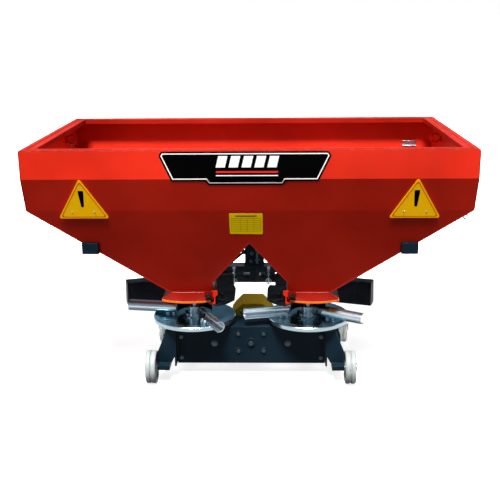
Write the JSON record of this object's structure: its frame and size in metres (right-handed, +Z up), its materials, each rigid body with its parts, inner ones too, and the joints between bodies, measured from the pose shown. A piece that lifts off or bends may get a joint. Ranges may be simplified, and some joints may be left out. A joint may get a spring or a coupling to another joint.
{
  "type": "tractor fertiliser spreader",
  "caption": "Tractor-mounted fertiliser spreader: open hopper with funnels, coupled spinning discs with vanes, drive train, parking wheels, shutters and hinged sieves.",
  "frame": {"origin": "on the ground, under the middle of the whole machine's bounding box", "axes": "+X to the machine's right seen from behind, +Y towards the tractor, +Z up"},
  "size_m": [2, 1.264, 1.166],
  "materials": {
    "red_paint": "gloss",
    "orange_paint": "gloss",
    "frame_paint": "satin",
    "black_paint": "satin",
    "black_plastic": "matte",
    "cast_housing": "matte",
    "machined_steel": "brushed",
    "zinc_plate": "satin",
    "hood_paint": "satin",
    "hook_paint": "satin",
    "nylon": "matte"
  },
  "bodies": {
    "frame": {"hopper_rear_panel": "red_paint", "hopper_front_panel": "red_paint", "hopper_end_left": "red_paint", "hopper_end_right": "red_paint", "hopper_divider": "red_paint", "hopper_rim": "red_paint", "saddle_tube_left": "black_paint", "saddle_tube_right": "black_paint", "outlet_skirt_left": "red_paint", "outlet_skirt_right": "red_paint", "outlet_plate_left": "orange_paint", "outlet_plate_right": "orange_paint", "drop_guard_left": "black_paint", "drop_guard_right": "black_paint", "headstock_mast": "frame_paint", "headstock_crossbars": "frame_paint", "hitch_ears": "frame_paint", "hitch_pins": "zinc_plate", "frame_arm_left": "black_paint", "frame_arm_right": "black_paint", "hopper_posts": "frame_paint", "frame_rails": "frame_paint", "gearbox_beam": "frame_paint", "wheel_leg_left": "frame_paint", "wheel_leg_right": "frame_paint", "wheel_axles": "zinc_plate", "center_gearbox": "cast_housing", "disc_gearbox_left": "cast_housing", "disc_gearbox_right": "cast_housing", "shaft_tubes": "cast_housing", "bearings": "machined_steel", "pto_hood": "hood_paint", "quadrant_left": "black_paint", "quadrant_right": "black_paint", "beam_bolts": "machined_steel", "lashing_hook": "hook_paint", "clamp_knobs": "black_plastic", "mast_web": "frame_paint"},
    "pto": {"pto_shaft": "machined_steel", "pto_gear": "machined_steel"},
    "cross": {"cross_shaft": "machined_steel", "cross_gears": "machined_steel"},
    "disc_left": {"spindle_left": "machined_steel", "disc_left": "zinc_plate", "hub_left": "zinc_plate", "vanes_left": "zinc_plate", "agitator_left": "machined_steel"},
    "disc_right": {"spindle_right": "machined_steel", "disc_right": "zinc_plate", "hub_right": "zinc_plate", "vanes_right": "zinc_plate", "agitator_right": "machined_steel"},
    "wheel_rear_left": {"wheel_rear_left": "nylon"},
    "wheel_rear_right": {"wheel_rear_right": "nylon"},
    "wheel_front_left": {"wheel_front_left": "nylon"},
    "wheel_front_right": {"wheel_front_right": "nylon"},
    "shutter_left": {"shutter_left": "black_paint"},
    "shutter_right": {"shutter_right": "black_paint"},
    "sieve_left": {"sieve_left": "zinc_plate"},
    "sieve_right": {"sieve_right": "zinc_plate"}
  },
  "joints": [
    {"name": "disc_left_spin", "type": "hinge", "parent": "frame", "child": "disc_left", "pos_m": [-0.281, -0.299, 0.28], "axis": [0, 0, 1], "continuous": true},
    {"name": "disc_right_spin", "type": "hinge", "parent": "frame", "child": "disc_right", "pos_m": [0.281, -0.299, 0.28], "axis": [0, 0, 1], "continuous": true},
    {"name": "cross_spin", "type": "hinge", "parent": "frame", "child": "cross", "pos_m": [0, -0.299, 0.17], "axis": [1, 0, 0], "continuous": true},
    {"name": "pto_spin", "type": "hinge", "parent": "frame", "child": "pto", "pos_m": [0, -0.299, 0.17], "axis": [0, 1, 0], "continuous": true},
    {"name": "wheel_rear_left_spin", "type": "hinge", "parent": "frame", "child": "wheel_rear_left", "pos_m": [-0.48, -0.467, 0.08], "axis": [1, 0, 0], "continuous": true},
    {"name": "wheel_rear_right_spin", "type": "hinge", "parent": "frame", "child": "wheel_rear_right", "pos_m": [0.48, -0.467, 0.08], "axis": [1, 0, 0], "continuous": true},
    {"name": "wheel_front_left_spin", "type": "hinge", "parent": "frame", "child": "wheel_front_left", "pos_m": [-0.48, 0.071, 0.08], "axis": [1, 0, 0], "continuous": true},
    {"name": "wheel_front_right_spin", "type": "hinge", "parent": "frame", "child": "wheel_front_right", "pos_m": [0.48, 0.071, 0.08], "axis": [1, 0, 0], "continuous": true},
    {"name": "shutter_left_turn", "type": "hinge", "parent": "frame", "child": "shutter_left", "pos_m": [-0.281, -0.299, 0.3965], "axis": [0, 0, 1], "range_deg": [0, 70]},
    {"name": "shutter_right_turn", "type": "hinge", "parent": "frame", "child": "shutter_right", "pos_m": [0.281, -0.299, 0.3965], "axis": [0, 0, -1], "range_deg": [0, 70]},
    {"name": "sieve_left_hinge", "type": "hinge", "parent": "frame", "child": "sieve_left", "pos_m": [-0.47, 0.441, 0.905], "axis": [-1, 0, 0], "range_deg": [0, 75]},
    {"name": "sieve_right_hinge", "type": "hinge", "parent": "frame", "child": "sieve_right", "pos_m": [0.47, 0.441, 0.905], "axis": [-1, 0, 0], "range_deg": [0, 75]}
  ],
  "couplings": [
    {"joint": "disc_right_spin", "follows": "disc_left_spin", "ratio": -1},
    {"joint": "cross_spin", "follows": "disc_left_spin", "ratio": -1},
    {"joint": "pto_spin", "follows": "disc_left_spin", "ratio": 0.75}
  ]
}
